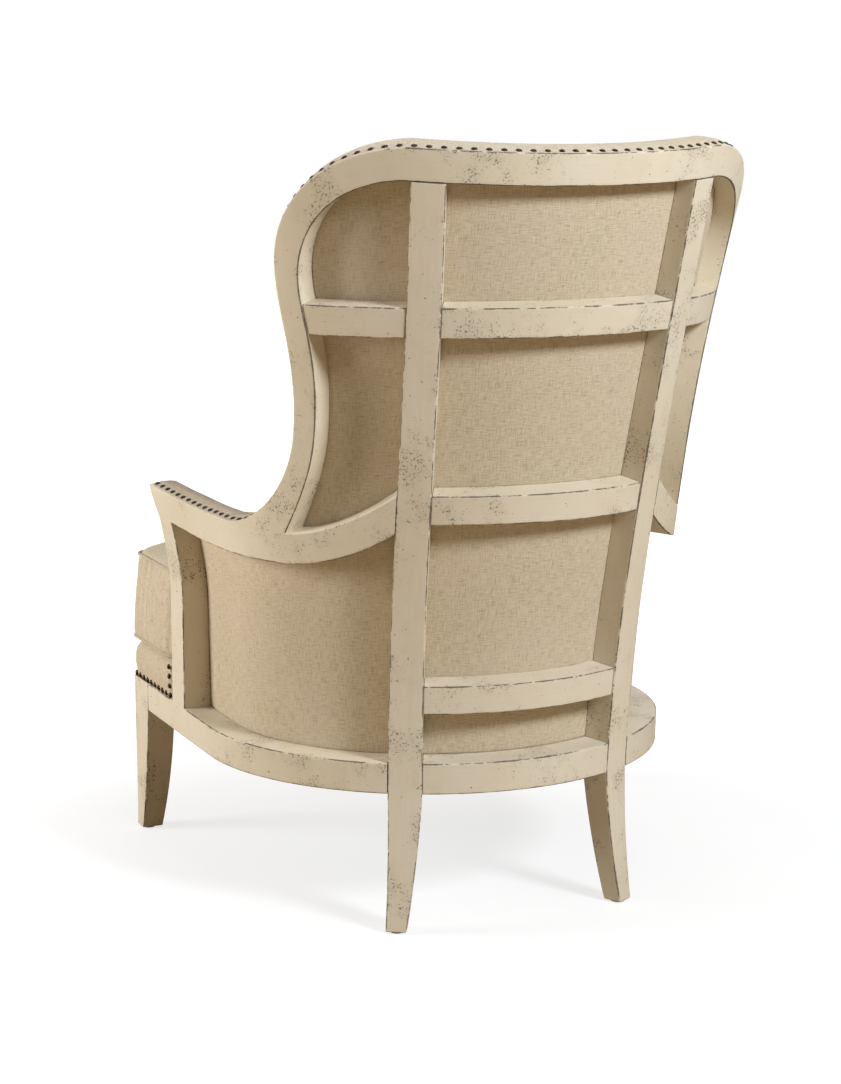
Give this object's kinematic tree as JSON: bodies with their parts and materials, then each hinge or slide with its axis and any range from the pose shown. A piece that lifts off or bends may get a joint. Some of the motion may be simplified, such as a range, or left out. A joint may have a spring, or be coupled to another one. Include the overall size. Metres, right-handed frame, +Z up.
{
  "type": "accent chair",
  "caption": "Barrel-back wing chair with an open painted wooden frame, nail-trimmed linen upholstery and a loose T-shaped seat cushion.",
  "frame": {"origin": "middle of the chair's bounding box, on the floor", "axes": "+Z up, the seat faces -Y, the back is at +Y, +X is the sitter's left"},
  "size_m": [0.7618, 0.9466, 1.1323],
  "materials": {
    "painted_wood": "ivory paint, rubbed and flecked dark at edges and joints, satin",
    "bare_wood": "plain hardwood, unfinished",
    "linen": "natural flax linen, plain weave with slubs",
    "welt_linen": "the same linen over a welt cord",
    "webbing": "woven jute webbing",
    "lining": "thin black lining cloth",
    "screw_steel": "zinc plated",
    "nylon": "plain nylon glides"
  },
  "bodies": {
    "frame": {"crest_rail": "painted_wood", "left_wing_stile": "painted_wood", "right_wing_stile": "painted_wood", "left_arm_rail": "painted_wood", "right_arm_rail": "painted_wood", "left_arm_post": "painted_wood", "right_arm_post": "painted_wood", "left_rear_post": "painted_wood", "right_rear_post": "painted_wood", "upper_slat": "painted_wood", "middle_slat": "painted_wood", "lower_slat": "painted_wood", "left_side_slat": "painted_wood", "right_side_slat": "painted_wood", "back_seat_rail": "painted_wood", "left_seat_rail": "painted_wood", "right_seat_rail": "painted_wood", "front_seat_rail": "painted_wood", "left_front_leg": "painted_wood", "right_front_leg": "painted_wood", "corner_blocks": "bare_wood", "block_screws": "screw_steel", "foot_glides": "nylon", "outside_back": "linen", "left_outside_wing": "linen", "right_outside_wing": "linen", "left_outside_arm": "linen", "right_outside_arm": "linen", "inside_back": "linen", "left_inside_arm": "linen", "right_inside_arm": "linen", "crest_pad": "linen", "left_arm_pad": "linen", "right_arm_pad": "linen", "seat_webbing": "webbing", "seat_platform": "linen", "dust_cover": "lining"},
    "cushion": {"seat_cushion": "linen", "cushion_welts": "welt_linen"}
  },
  "joints": [
    {"name": "cushion_slide", "type": "slide", "parent": "frame", "child": "cushion", "axis": [0, -1, 0], "range_m": [0, 0.45]}
  ]
}
